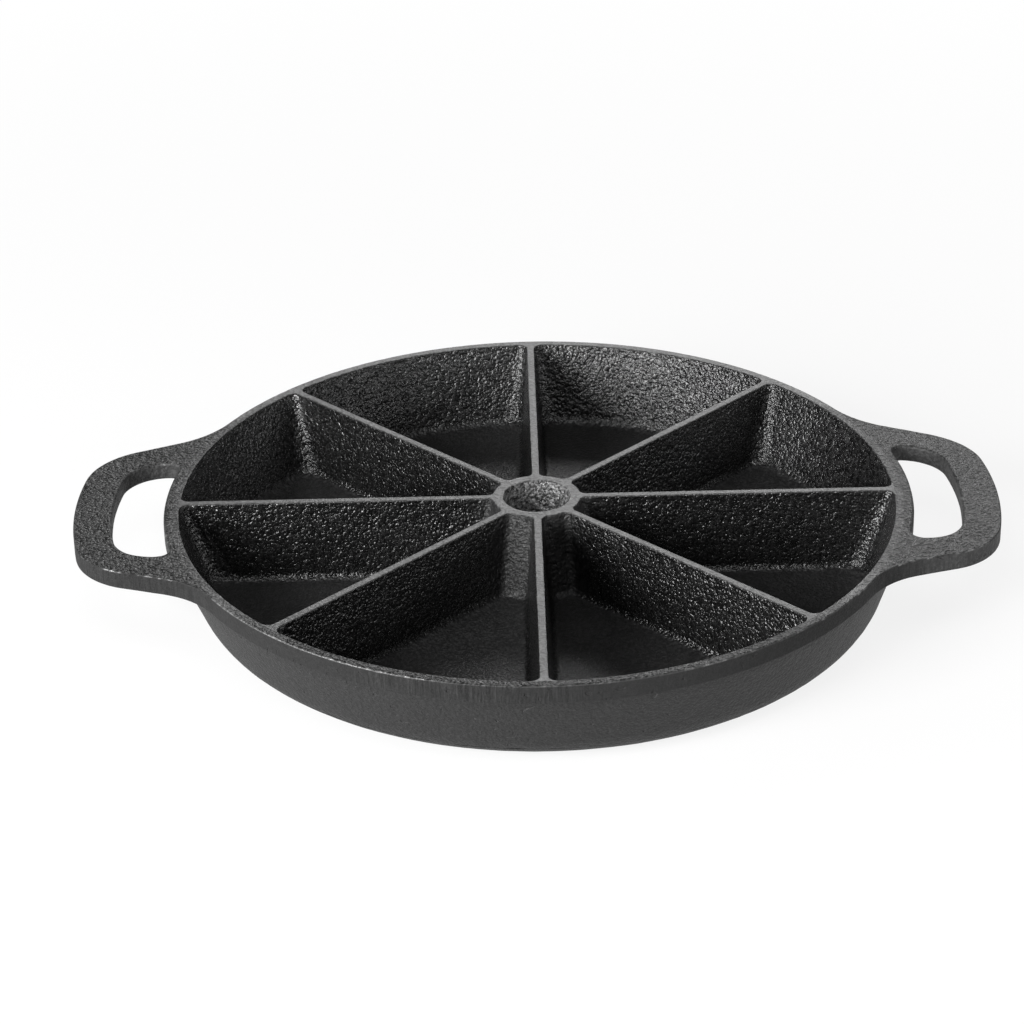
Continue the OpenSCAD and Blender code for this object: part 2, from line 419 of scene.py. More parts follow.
@dataclass(frozen=True)
class Casting:
    """Main sizes of the casting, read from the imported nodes, and those that no box shows."""

    rim_r: float
    wall_r: float  # outer wall where it meets the ground band
    tip_r: float  # tips of the handles
    height: float
    band_z: float  # foot of the ground band
    floor_z: float
    grip_z: float  # underside of the handles
    outer_draft: float = 19.8
    base_r: float = 13.0  # radius that turns the underside up into the wall
    rim_land: float = 3.0
    hub_r: float = 13.5
    edge_r: float = 0.5  # rounding of the ground lands' edges
    aside: Pair = (1.15, 0.5)  # how far the mould's lower half stood off, X and Y
    lap: float = 0.4  # how far a hidden end runs into its neighbour

    @classmethod
    def measured(cls) -> "Casting":
        """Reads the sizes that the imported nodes' boxes show.

        Returns:
            The casting, with its other sizes as they stand.
        """
        band, wall, grip = (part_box(n)[1] / MM for n in ("rim_band", "side_wall", "handle_right"))
        low, under = (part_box(n)[0] / MM for n in ("rim_band", "handle_right"))
        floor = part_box("base_plate")[1] / MM
        return cls(band.x, wall.x, grip.x, band.z, low.z, floor.z, under.z)

    @property
    def pocket_r(self) -> float:
        """Radius of the pockets at the rim."""
        return self.rim_r - self.rim_land

    @property
    def seam_r(self) -> float:
        """Radius of the pockets at the band's foot."""
        return self.pocket_r - WALL_FACE.spread(self.height - self.band_z)

    @property
    def depth(self) -> float:
        """Depth of the pockets."""
        return self.height - self.floor_z

    @property
    def flat_r(self) -> float:
        """Radius of the flat underside, where the turn into the wall starts."""
        lean = np.radians(self.outer_draft)
        foot = self.wall_r - self.band_z * np.tan(lean)
        return foot - self.base_r * np.tan(np.pi / 4 - lean / 2)

    def outside(self, low: float, high: float, step: float) -> Walk:
        """Outer skin between two heights.

        The turn is the arc (flat_r + R cos a, R + R sin a) up to where its normal has the
        wall's draft. Above it the wall is straight: r = wall_r - (band_z - z) tan(draft).

        Args:
            low: Lowest height.
            high: Highest height.
            step: Distance between points.

        Returns:
            The skin's points (radius, height), normals and channels.
        """
        lean, turn_r = np.radians(self.outer_draft), self.base_r
        joint = turn_r * (1 - np.sin(lean))
        top = min(high, joint)
        ends = np.arcsin(np.array([low, top]) / turn_r - 1)
        bend = np.linspace(*ends, round((ends[1] - ends[0]) * turn_r / step) + 2)
        straight = np.linspace(top, high, round((high - top) / step) + 1)[1:]
        z = np.concatenate([turn_r * (1 + np.sin(bend)), straight])
        a = np.minimum(np.arcsin(np.clip(z / turn_r - 1, -1, 0)), -lean)
        arc_r = self.flat_r + turn_r * np.cos(a)
        wall_r = self.wall_r - (self.band_z - z) * np.tan(lean)
        r = np.where(z < joint, arc_r, wall_r)
        finish = np.repeat(OUTER_SKIN.channels()[None], len(z), axis=0)
        return np.stack([r, z], axis=-1), spoke(a), finish

    def set_aside(self, patch: Patch, rows: Array) -> Patch:
        """Moves the outer skin as the mould's lower half did: aside x (1 - z / band_z).

        Args:
            patch: Patch that has the skin.
            rows: Numbers of the skin's rows.

        Returns:
            The patch with those rows moved.
        """
        points = patch.points.copy()
        share = 1 - points[rows, :, 2:] / self.band_z
        points[rows, :, :2] += share * np.array(self.aside)
        return Patch(points, patch.normals, patch.finish)


@dataclass
class Section:
    """Half section of a ring: corners in order, each with its rounding, and a finish per side.

    Walked from the underside outwards, up, inwards and down, so that outside is on the right.
    """

    corners: list[tuple[float, float, float]]
    finishes: list[Finish]
    step: float = 0.6
    fewest: int = 3  # steps of the smallest rounding

    def walk(self) -> Walk:
        """Points along the section with their normals and finishes.

        Each corner's rounding is the arc tangent to both sides: it starts radius x tan(turn/2)
        before the corner, and its normal turns evenly from one side's to the other's.

        Returns:
            Points (radius, height), normals and channels.
        """
        at = np.array([c[:2] for c in self.corners])
        radii = [c[2] for c in self.corners]
        run = np.diff(at, axis=0)
        length = np.linalg.norm(run, axis=1)
        run /= length[:, None]
        out = np.stack([run[:, 1], -run[:, 0]], axis=1)
        angle = np.arctan2(out[:, 1], out[:, 0])
        turn = (np.diff(angle) + np.pi) % (2 * np.pi) - np.pi
        cutback = np.concatenate([[0], np.abs(np.tan(turn / 2)) * radii[1:-1], [0]])
        points, normals, finish = [], [], []
        for k, made in enumerate(self.finishes):
            a = at[k] + run[k] * cutback[k]
            b = at[k + 1] - run[k] * cutback[k + 1]
            count = max(1, round(np.linalg.norm(b - a) / self.step))
            share = np.linspace(0, 1, count + 1)[:, None]
            points.append(a + (b - a) * share)
            normals.append(np.repeat(out[k][None], count + 1, axis=0))
            finish.append(np.repeat(made.channels()[None], count + 1, axis=0))
            if k + 1 < len(self.finishes) and cutback[k + 1]:
                steps = max(self.fewest, round(abs(turn[k]) * radii[k + 1] / self.step))
                share = np.linspace(0, 1, steps + 1)[1:-1]
                way = spoke(angle[k] + turn[k] * share)
                hub = b - out[k] * radii[k + 1] * np.sign(turn[k])
                points.append(hub + way * radii[k + 1] * np.sign(turn[k]))
                normals.append(way)
                after = self.finishes[k + 1].channels()
                finish.append(blend(made.channels(), after, smooth(share, 0, 1)))
        return np.concatenate(points), np.concatenate(normals), np.concatenate(finish)


def joined(*walks: Walk) -> Walk:
    """Puts walks end to end, and drops each point that repeats the one before it.

    Args:
        walks: Points (radius, height), normals and channels, in order.

    Returns:
        The one walk, where a dropped point leaves the normal of the one before it.
    """
    points, normals, finish = (np.concatenate(part) for part in zip(*walks))
    gap = np.linalg.norm(np.diff(points, axis=0), axis=1)
    keep = np.concatenate([[True], gap > HAIR])
    return points[keep], normals[keep], finish[keep]


def turned(walk: Walk, columns: int) -> Patch:
    """Carries a half section round the Z axis: (r, z) becomes (r cos a, r sin a, z).

    Args:
        walk: Points (radius, height), normals and channels of the half section.
        columns: Number of places round the axis.

    Returns:
        The patch, with a row for each point and a column for each place.
    """
    points, normals, finish = walk
    a = np.linspace(0, 2 * np.pi, columns, endpoint=False)
    ring = np.stack([np.cos(a), np.sin(a), np.zeros(columns)], axis=-1)
    up = np.array([0, 0, 1.0])

    def lift(v: Array) -> Array:
        """Returns the (radius, height) pairs v at every place."""
        return v[:, None, :1] * ring[None] + v[:, None, 1:] * up

    return Patch(lift(points), lift(normals), np.repeat(finish[:, None], columns, axis=1))


def ring_shell(patch: Patch, poles: bool) -> Shell:
    """Closes a turned patch.

    Args:
        patch: Patch whose columns go round the axis.
        poles: Whether its first and last rows lie on the axis; otherwise they join up.

    Returns:
        The closed surface.
    """
    surface = patch.roughened()
    rows, cols = patch.points.shape[:2]
    if not poles:
        return surface, grid_quads(rows, cols, wrap_rows=True, wrap_cols=True), NO_TRIANGLES
    keep = np.arange(cols - 1, (rows - 1) * cols + 1)
    j = np.arange(cols)
    after = (j + 1) % cols
    top = 1 + (rows - 3) * cols
    fans = [
        np.stack([np.zeros(cols, int), 1 + after, 1 + j], axis=1),
        np.stack([top + j, top + after, np.full(cols, len(keep) - 1)], axis=1),
    ]
    quads = grid_quads(rows - 2, cols, wrap_cols=True) + 1
    return tuple(v[keep] for v in surface), quads, np.concatenate(fans)


@dataclass
class BasePlate(Feature):
    """Disc under the pockets: flat underside, turn up into the outer wall, pocket floors."""

    node, slot = "base_plate", Slot.WALL

    pan: Casting
    columns: int = 576
    step: float = 1.25
    seam: float = 0.1  # how far inside the outer skin the floor starts

    def shell(self) -> Shell:
        """Returns the disc's closed skin."""
        pan = self.pan
        under = Section([(0, 0, 0), (pan.flat_r, 0, 0)], [UNDERSIDE], self.step).walk()
        skin = pan.outside(0, pan.floor_z, self.step)
        floor = [(skin[0][-1, 0] - self.seam, pan.floor_z, 0), (0, pan.floor_z, 0)]
        top = Section(floor, [POCKET_FLOOR], self.step).walk()
        patch = turned(joined(under, skin, top), self.columns)
        return ring_shell(pan.set_aside(patch, np.arange(len(patch.points))), poles=True)


@dataclass
class SideWall(Feature):
    """Wall ring: drafted outside that turns into the base, top edge, drafted inside."""

    node, slot = "side_wall", Slot.WALL

    pan: Casting
    columns: int = 1152
    step: float = 0.6
    hidden_step: float = 6.0
    tuck: float = 0.3  # how far the outer skin draws in to pass behind the ground band
    tuck_h: float = 3.0  # over this height
    shelf_in: float = 0.06  # how far inside the skin the top starts
    seam: float = 0.1  # how far the underside stays short of the floor's end

    def shell(self) -> Shell:
        """Returns the wall ring's closed skin."""
        pan, lap = self.pan, self.pan.lap
        foot = pan.pocket_r - WALL_FACE.spread(pan.depth)
        floor_end = foot - WALL_FACE.tangent(WALL_FACE.foot_r)
        skin = pan.outside(pan.floor_z, pan.band_z, self.step)
        skin[0][:, 0] -= self.tuck * smooth(skin[0][:, 1], pan.band_z - self.tuck_h, pan.band_z)
        top_r = skin[0][-1, 0]
        top = [(top_r - self.shelf_in, pan.band_z, 0), (top_r - lap, pan.band_z, 0)]
        shelf = Section(top, [BAND])
        inside = Section(
            [
                (pan.seam_r, pan.band_z, 0),
                (foot, pan.floor_z, WALL_FACE.foot_r),
                (floor_end, pan.floor_z, 0),
            ],
            [POCKET_WALL, POCKET_FLOOR],
        )
        hidden = Section(
            [
                (floor_end + self.seam, pan.floor_z - lap, 0),
                (skin[0][0, 0] - lap, pan.floor_z - lap, 0),
            ],
            [OUTER_SKIN],
            self.hidden_step,
        )
        walk = joined(skin, shelf.walk(), inside.walk(), hidden.walk())
        rows = np.append(np.arange(len(skin[0])), -1)
        return ring_shell(pan.set_aside(turned(walk, self.columns), rows), poles=False)


@dataclass
class RimBand(Feature):
    """Ring at the top: ground band outside, flat land, drafted inside."""

    node, slot = "rim_band", Slot.BAND

    pan: Casting
    columns: int = 1152
    step: float = 0.36
    hidden_step: float = 3.0
    sunk: float = 1.0  # how far the ground face runs down behind the cast wall
    sunk_r: float = 0.5  # how far it draws in there
    sunk_from: float = 0.2  # how far below the seam it starts to
    sunk_edge_r: float = 0.6  # rounding where it does
    land_up: Span = (0.5, 1.0)  # upward part of a normal over which the land begins
    land_h: float = 0.5  # height over which it begins
    rough: Span = (24.0, 36.0)  # angles off the handles' axis over which the land turns smooth
    rough_share: float = 0.3  # share of its own finish that the rough land keeps
    front: tuple[Span, Span] = ((205.0, 235.0), (305.0, 335.0))  # angles with a coarse land
    line: Span = (1.25, 0.8)  # distances from the edge over which its painted shadow line begins
    # how much the painted shadow line darkens the land
    line_dark: float = 0.75
    mark_size: float = 5.0  # spacing of the noise by which filing marks come and go
    marks: Span = (0.4, 0.7)
    filed: tuple[Span, Span] = ((238.0, 246.0), (268.0, 282.0))  # angles with the strongest marks
    filing: tuple[float, float, float] = (0.15, 0.3, 1.3)  # all round, in the noise, and there
    filed_out: float = 0.5  # sideways part of a normal above which a face is filed
    burr_and_highlight: BurrAndHighlightLine = BurrAndHighlightLine(size=1.4)
    burr_and_highlight_w: float = 1.0  # distance from the edge that has burr and painted highlight
    worn_and_lit: Pair = (0.3, 0.9)  # burr and painted highlight all round, and what the front left adds
    worn_and_lit_at: tuple[Span, Span] = ((188.0, 204.0), (236.0, 262.0))  # angles of the front left, where the painted highlight is strongest

    @staticmethod
    def between(a: Array, start: Span, end: Span) -> Array:
        """Returns 1 for angles inside the two soft limits and 0 outside them."""
        return smooth(a, *start) * (1 - smooth(a, *end))

    def section(self) -> Walk:
        """Half section of the ring.

        Returns:
            Its points (radius, height), normals and channels.
        """
        pan, lap = self.pan, self.pan.lap
        shown = Section(
            [
                (pan.rim_r - self.sunk_r, pan.band_z - self.sunk, 0),
                (pan.rim_r, pan.band_z - self.sunk_from, self.sunk_edge_r),
                (pan.rim_r, pan.height, pan.edge_r),
                (pan.pocket_r, pan.height, pan.edge_r),
                (pan.seam_r, pan.band_z, 0),
            ],
            [BAND, BAND, LAND, POCKET_WALL],
            self.step,
        )
        hidden = Section(
            [
                (pan.seam_r + lap, pan.band_z - lap, 0),
                (pan.rim_r - self.sunk_r - lap, pan.band_z - self.sunk, 0),
            ],
            [OUTER_SKIN],
            self.hidden_step,
        )
        return joined(shown.walk(), hidden.walk())

    def ground(self, patch: Patch) -> Patch:
        """Finishes the ring: land rough by handles, coarse at front, edge burr with painted
        highlight.

        The coarse land has a painted shadow, a dark line, along its edge. The band's filing marks
        are weak, but for one stretch at the front.

        Args:
            patch: Patch of the plain ring.

        Returns:
            The patch with its new finish.
        """
        pan = self.pan
        x, y, z = np.moveaxis(patch.points, -1, 0)
        r, turn = np.hypot(x, y), np.degrees(np.arctan2(y, x)) % 360
        off_axis = np.degrees(np.arctan2(np.abs(y), np.abs(x)))
        land = smooth(patch.normals[..., 2], *self.land_up)
        land = land * smooth(z, pan.height - self.land_h, pan.height)
        coarse = HANDLE_FACE.channels()
        rough = blend(coarse, LAND.channels(), np.array(self.rough_share))
        rough[Channel.RELIEF] = coarse[Channel.RELIEF] = 0
        front = self.between(turn, *self.front)
        finish = blend(patch.finish, rough, (1 - smooth(off_axis, *self.rough)) * land)
        finish = blend(finish, coarse, front * land)
        # Painted shadow: a dark line along the coarse land's outer edge.
        line = smooth(r, *(pan.rim_r - w for w in self.line)) * land * front
        finish[..., Channel.TONE] *= 1 - self.line_dark * line
        noise = SKIN.octave((patch.points * [1, 1, 0]).reshape(-1, 3), self.mark_size)[0]
        marks = smooth(noise.reshape(r.shape), *self.marks)
        weak, patchy, most = self.filing
        strong = weak + patchy * marks + most * self.between(turn, *self.filed)
        facing = np.hypot(patch.normals[..., 0], patch.normals[..., 1])
        finish[..., Channel.FILED] *= strong * (facing > self.filed_out)
        # Share of the edge that is bright: real burr and painted highlight, most at the front left.
        bright = self.worn_and_lit[0] + self.worn_and_lit[1] * self.between(turn, *self.worn_and_lit_at)
        bright = np.where(r > pan.rim_r - self.burr_and_highlight_w, bright, 0)
        return self.burr_and_highlight.on(Patch(patch.points, patch.normals, finish), bright)

    def shell(self) -> Shell:
        """Returns the rim ring's closed skin."""
        return ring_shell(self.ground(turned(self.section(), self.columns)), poles=False)


@dataclass
class CentreCup(Feature):
    """Hub of the dividers, with a blind well in its top."""

    node, slot = "centre_cup", Slot.POCKET

    pan: Casting
    columns: int = 192
    well_r: float = 10.2
    well_base: float = 5.4
    well_lean: float = 14.0
    well_floor_r: float = 4.0
    well_edge_r: float = 0.5
    step: float = 0.5
    seam: float = 0.1  # how far the underside stays short of the floor's end

    def shell(self) -> Shell:
        """Returns the cup's closed skin."""
        pan, lap = self.pan, self.pan.lap
        foot = pan.hub_r + HUB_FACE.spread(pan.depth)
        floor_end = foot + HUB_FACE.tangent(HUB_FACE.foot_r)
        well_z = pan.floor_z + self.well_base
        well_foot = self.well_r - (pan.height - well_z) * np.tan(np.radians(self.well_lean))
        section = Section(
            [
                (0, pan.floor_z - lap, 0),
                (floor_end - self.seam, pan.floor_z - lap, 0),
                (floor_end, pan.floor_z, 0),
                (foot, pan.floor_z, HUB_FACE.foot_r),
                (pan.hub_r, pan.height, pan.edge_r),
                (self.well_r, pan.height, self.well_edge_r),
                (well_foot, well_z, self.well_floor_r),
                (0, well_z, 0),
            ],
            [POCKET_FLOOR, POCKET_FLOOR, POCKET_FLOOR, HUB_SKIN, LAND, WELL, WELL],
            self.step,
        )
        walk = joined(section.walk())
        points, normals, _ = walk
        normals[np.abs(points[:, 0] - floor_end) < HAIR] = (0, 1)
        return ring_shell(turned(walk, self.columns), poles=True)


@dataclass
class Divider(Feature):
    """Thin drafted wall from the cup to the side wall, running into both through round corners."""

    slot = Slot.POCKET

    pan: Casting
    number: int
    count: int = 8
    thickness: float = 2.6
    wall_corner: Pair = (5.5, 2.5)  # radius at the floor and at the rim
    hub_corner: Pair = (2.5, 2.0)
    step: float = 0.58
    columns: tuple[int, ...] = (7, 150, 12)  # in the three stretches of plan()
    round_steps: int = 4
    land_rows: int = 4
    bulge_w: float = 3.0  # length over which the land's ends bulge to the cup and the wall
    probe: float = 1e-4  # step over which slopes are taken
    floor_up: Span = (0.75, 1.0)  # upward part of a normal over which the floor's finish begins
    hub_to: Span = (0.9, 1.1)  # places over which the cup's skin gives way to the flank's
    wall_from: Span = (1.96, 2.0)  # and the flank's to the wall's

    @property
    def node(self) -> str:
        """Name of the divider's node."""
        return f"divider_{self.number}"

    def corner_r(self, radii: Pair, h: Array) -> Array:
        """Returns a corner's radius at a height h: even from its floor value to its rim value."""
        return radii[0] + (radii[1] - radii[0]) * h / self.pan.depth

    def plan(self, u: Array, root: Array) -> tuple[Array, Array, Array]:
        """Near side of the divider in plan at a height h = root squared.

        u from 0 to 1 is the corner arc tangent to the cup's circle and to the flank, 1 to 2 is
        the straight flank, and 2 to 3 is the corner arc tangent to the flank and the wall's
        circle. An arc's centre lies half thickness + corner radius off the middle line.

        Args:
            u: Place along the side.
            root: Signed square root of the height above the floor.

        Returns:
            X, Y and the direction in radians in which the pocket lies.
        """
        pan, h = self.pan, root * root
        half = self.thickness / 2 + FLANK.inset(root, pan.depth)
        hub, wall = self.corner_r(self.hub_corner, h), self.corner_r(self.wall_corner, h)
        hub_d = pan.hub_r + HUB_FACE.inset(root, pan.depth) + hub
        wall_d = pan.pocket_r - WALL_FACE.inset(root, pan.depth) - wall
        hub_a, wall_a = np.arcsin((half + hub) / hub_d), np.arcsin((half + wall) / wall_d)
        near = np.pi - hub_a - (np.pi / 2 - hub_a) * u
        far = np.pi / 2 - (np.pi / 2 + wall_a) * (u - 2)
        hub_x, wall_x = hub_d * np.cos(hub_a), wall_d * np.cos(wall_a)
        flank_x = hub_x + (wall_x - hub_x) * (u - 1)
        zones = [u < 1, u <= 2]
        x = np.select(zones, [hub_x + hub * np.cos(near), flank_x], wall_x + wall * np.cos(far))
        y_near, y_far = -half - hub + hub * np.sin(near), -half - wall + wall * np.sin(far)
        y = np.select(zones, [y_near, -half + 0 * u], y_far)
        facing = np.select(zones, [near, np.pi / 2 + 0 * u + 0 * half], far) + np.pi
        return x, y, facing

    def flank_points(self, u: Array, root: Array) -> Array:
        """Returns the near side's points at places u and heights root squared."""
        x, y, _ = self.plan(u, root)
        return np.stack(np.broadcast_arrays(x, y, self.pan.floor_z + root * root), axis=-1)

    def near_half(self) -> Patch:
        """Near side from the hidden skirt under the floor to the edge of the land.

        Its normals are the cross product of the side's slopes along u and along root. The edge
        is an arc of the pan's edge radius, tangent to the land and to the side's own lean.

        Returns:
            Patch with a column for each place along the divider.
        """
        pan, d = self.pan, self.probe
        zones = [k + np.linspace(0, 1, n, endpoint=False) for k, n in enumerate(self.columns)]
        u = np.append(np.concatenate(zones), len(zones))
        top = np.sqrt(pan.depth)
        x0, y0, facing = self.plan(u, np.full_like(u, top))
        x1, y1, _ = self.plan(u, np.full_like(u, top - d))
        way = spoke(facing)
        drop = top**2 - (top - d) ** 2
        lean = np.arctan(((x1 - x0) * way[:, 0] + (y1 - y0) * way[:, 1]) / drop)
        foot_rows = max(2, round(FLANK.foot_r * np.pi / 2 / self.step))
        foot_h = FLANK.foot_r * (1 - np.cos(np.linspace(0, np.pi / 2, foot_rows + 1)))
        rows = round((pan.depth - FLANK.foot_r) / self.step)
        h = np.concatenate([foot_h, np.linspace(FLANK.foot_r, pan.depth, rows)[1:]])
        share = 1 - pan.edge_r * (1 - np.sin(lean)) / pan.depth
        root = np.sqrt(h[:, None] * share[None, :])
        uu = np.broadcast_to(u, root.shape)
        side = self.flank_points(uu, root)
        along = self.flank_points(uu + d, root) - self.flank_points(uu - d, root)
        up = self.flank_points(uu, root + d) - self.flank_points(uu, root - d)
        normal = np.cross(along, up)
        normal /= np.linalg.norm(normal, axis=-1, keepdims=True)
        a = (np.pi / 2 - lean) * np.linspace(1, 0, self.round_steps + 1)[1:, None]
        cutback = pan.edge_r * np.tan(np.pi / 4 - lean / 2)
        out = pan.edge_r * np.sin(a) - cutback
        edge_z = pan.height - pan.edge_r * (1 - np.cos(a))
        edge = np.stack([x0 + way[:, 0] * out, y0 + way[:, 1] * out, edge_z], axis=-1)
        turn = np.stack([way[:, 0] * np.sin(a), way[:, 1] * np.sin(a), np.cos(a)], axis=-1)
        skirt = side[:1] - np.array([0, 0, pan.lap])
        wall, floor, land = (f.channels() for f in (POCKET_WALL, POCKET_FLOOR, LAND))
        side_finish = blend(HUB_SKIN.channels(), FLANK_SKIN.channels(), smooth(uu, *self.hub_to))
        side_finish = blend(side_finish, wall, smooth(uu, *self.wall_from))
        side_finish = blend(side_finish, floor, smooth(normal[..., 2], *self.floor_up))
        share = np.broadcast_to(np.linspace(0, 1, self.round_steps + 1)[1:, None], a.shape)
        return Patch(
            np.concatenate([skirt, side, edge]),
            np.concatenate([normal[:1], normal, turn]),
            np.concatenate([side_finish[:1], side_finish, blend(wall, land, smooth(share, 0, 1))]),
        )

    def whole(self) -> Patch:
        """Near half, land across the top and mirrored far half, with ends run into neighbours.

        Returns:
            Patch whose rows go over the divider and whose columns go along it.
        """
        pan, half = self.pan, self.near_half()
        flip = np.array([1.0, -1.0, 1.0])
        far_p, far_n, far_f = half.points[::-1] * flip, half.normals[::-1] * flip, half.finish[::-1]
        w = np.linspace(0, 1, self.land_rows + 2)[1:-1, None, None]
        land = half.points[-1] * (1 - w) + far_p[0] * w
        for end in (0, -1):
            ring = np.hypot(*half.points[-1, end, :2])
            bulge = np.sqrt(ring**2 - land[:, end, 1] ** 2) - land[:, end, 0]
            fade = smooth(-np.abs(land[..., 0] - land[:, [end], 0]), -self.bulge_w, 0)
            land[..., 0] += bulge[:, None] * fade
        up = np.broadcast_to([0, 0, 1.0], land.shape)
        made = np.broadcast_to(LAND.channels(), land.shape[:2] + (len(Channel),))
        points = np.concatenate([half.points, land, far_p])
        normals = np.concatenate([half.normals, up, far_n])
        finish = np.concatenate([half.finish, made, far_f])
        ends = []
        for end, way in ((slice(0, 1), -1), (slice(-1, None), 1)):
            at = points[:, end]
            radial = at * [1, 1, 0] / np.linalg.norm(at[..., :2], axis=-1, keepdims=True)
            ends.append(at + radial * way * pan.lap - np.array([0, 0, pan.lap / 2]))
        points = np.concatenate([ends[0], points, ends[1]], axis=1)
        normals, finish = (
            np.concatenate([v[:, :1], v, v[:, -1:]], axis=1) for v in (normals, finish)
        )
        turn = np.array(Matrix.Rotation(2 * np.pi * (self.number - 1) / self.count, 3, "Z"))
        return Patch(points @ turn.T, normals @ turn.T, finish)

    def shell(self) -> Shell:
        """Returns the divider's closed skin."""
        patch = self.whole()
        rows, cols = patch.points.shape[:2]
        ring = np.arange(rows) * cols
        ends = [ladder_quads(ring), ladder_quads(ring + cols - 1)[:, ::-1]]
        quads = np.concatenate([grid_quads(rows, cols, wrap_rows=True), *ends])
        return patch.roughened(), quads, NO_TRIANGLES


@dataclass
class Outline:
    """Plan outline made of tangent arcs and lines, sampled by its length."""

    points: list[Array] = field(default_factory=list)
    normals: list[Array] = field(default_factory=list)
    steps: int = 240  # points of an arc

    def arc(self, centre: Array, radius: float, start: float, end: float, way: int) -> "Outline":
        """Adds an arc.

        Args:
            centre: Its centre.
            radius: Its radius.
            start: First angle.
            end: Last angle.
            way: 1 where the metal's outside is away from the centre, -1 where it is towards it.

        Returns:
            The outline.
        """
        out = spoke(np.radians(np.linspace(start, end, self.steps)))
        self.points.append(centre + radius * out)
        self.normals.append(way * out)
        return self

    def sample(self, first: float, last: float, count: int) -> tuple[Array, Array]:
        """Places spread evenly along a stretch, without its end.

        Args:
            first: Length at which the stretch starts.
            last: Length at which it ends.
            count: Number of places.

        Returns:
            Points and unit normals, each count x 2.
        """
        p, n = np.concatenate(self.points), np.concatenate(self.normals)
        along = self.lengths(p)
        at = np.linspace(first, last, count, endpoint=False)
        q = np.stack([np.interp(at, along, p[:, k]) for k in (0, 1)], axis=-1)
        m = np.stack([np.interp(at, along, n[:, k]) for k in (0, 1)], axis=-1)
        return q, m / np.linalg.norm(m, axis=-1, keepdims=True)

    @staticmethod
    def lengths(p: Array) -> Array:
        """Returns the length along the path up to each point, a hair apart where two coincide."""
        gaps = np.linalg.norm(np.diff(p, axis=0), axis=1) + HAIR
        return np.concatenate([[0], np.cumsum(gaps)])

    def marks(self) -> Array:
        """Returns the length at the end of each arc, with 0 first."""
        along = self.lengths(np.concatenate(self.points))
        ends = np.cumsum([len(p) for p in self.points]) - 1
        return np.concatenate([[0], along[ends]])


def polar(r: float, a: float) -> Array:
    """Returns the point at radius r and angle a."""
    return r * spoke(np.radians(a))


class Hand(Enum):
    """Side of the pan that a handle is on, as the sign of X."""

    LEFT = -1
    RIGHT = 1


